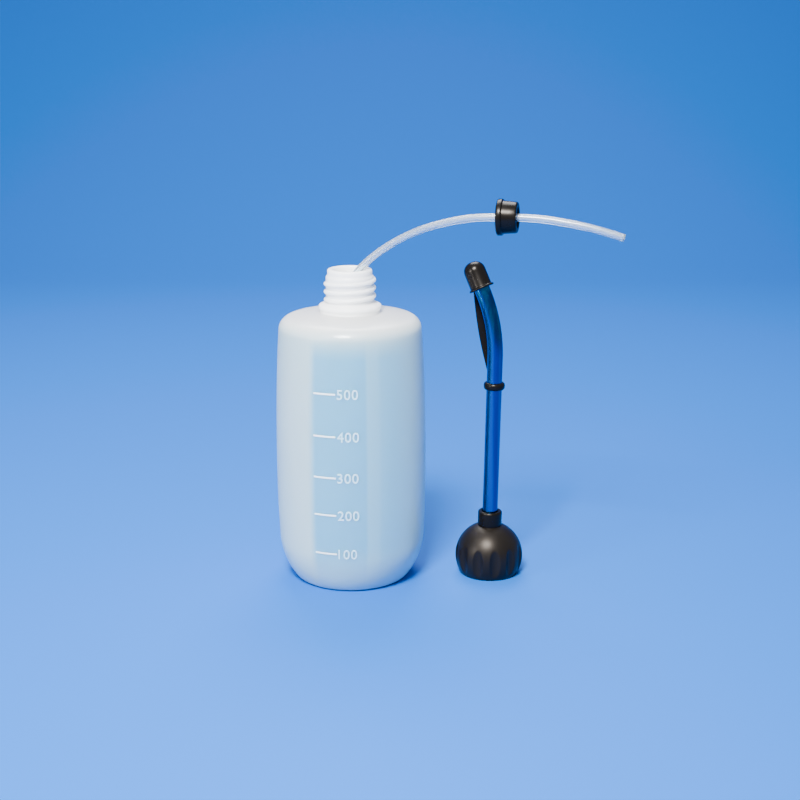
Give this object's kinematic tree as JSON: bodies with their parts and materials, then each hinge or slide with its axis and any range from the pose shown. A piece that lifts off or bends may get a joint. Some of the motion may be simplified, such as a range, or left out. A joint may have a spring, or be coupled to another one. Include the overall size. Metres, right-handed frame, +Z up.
{
  "type": "squeeze dispensing bottle",
  "caption": "Translucent squeeze bottle with a screw neck, a pick-up tube and rubber stopper, and a loose ball-shaped screw cap with a bent metal spout and strapped tip cap.",
  "frame": {"origin": "middle of the bottle's foot, on the surface it stands on", "axes": "+Z up along the bottle's axis; +X towards the spout unit standing beside it; +Y away from the side the arched tube leans to"},
  "size_m": [0.1802, 0.0804, 0.209],
  "materials": {
    "milky_plastic": "translucent milky polyethylene",
    "clear_tube": "translucent soft tube",
    "black_rubber": "semi-gloss moulded rubber",
    "black_plastic": "satin moulded plastic",
    "blue_aluminium": "blue anodised, drawn tube"
  },
  "bodies": {
    "bottle": {"bottle": "milky_plastic"},
    "pickup_tube": {"pickup_tube": "clear_tube"},
    "stopper": {"tube_stopper": "black_rubber"},
    "cap": {"screw_cap": "black_plastic", "spout_bush": "black_rubber"},
    "spout": {"spout_tube": "blue_aluminium", "strap_ring": "black_rubber", "cap_strap": "black_rubber"},
    "tip_cap": {"tip_cap": "black_rubber"}
  },
  "joints": [
    {"name": "tube_lift", "type": "slide", "parent": "bottle", "child": "pickup_tube", "axis": [0, 0, 1], "range_m": [0, 0.135]},
    {"name": "stopper_slide", "type": "slide", "parent": "pickup_tube", "child": "stopper", "axis": [0.9747, -0.2231, 0.0103], "range_m": [-0.004, 0.004]},
    {"name": "cap_unit_slide", "type": "slide", "parent": "bottle", "child": "cap", "axis": [1, 0, 0], "range_m": [0, 0.12]},
    {"name": "spout_swivel", "type": "hinge", "parent": "cap", "child": "spout", "pos_m": [0.07713, 0, 0.1], "axis": [0.0157, 0, 0.9999], "continuous": true},
    {"name": "tip_cap_pull", "type": "slide", "parent": "spout", "child": "tip_cap", "axis": [-0.3803, 0.2186, 0.8987], "range_m": [0, 0.0135], "deforming": ["cap_strap"]}
  ]
}
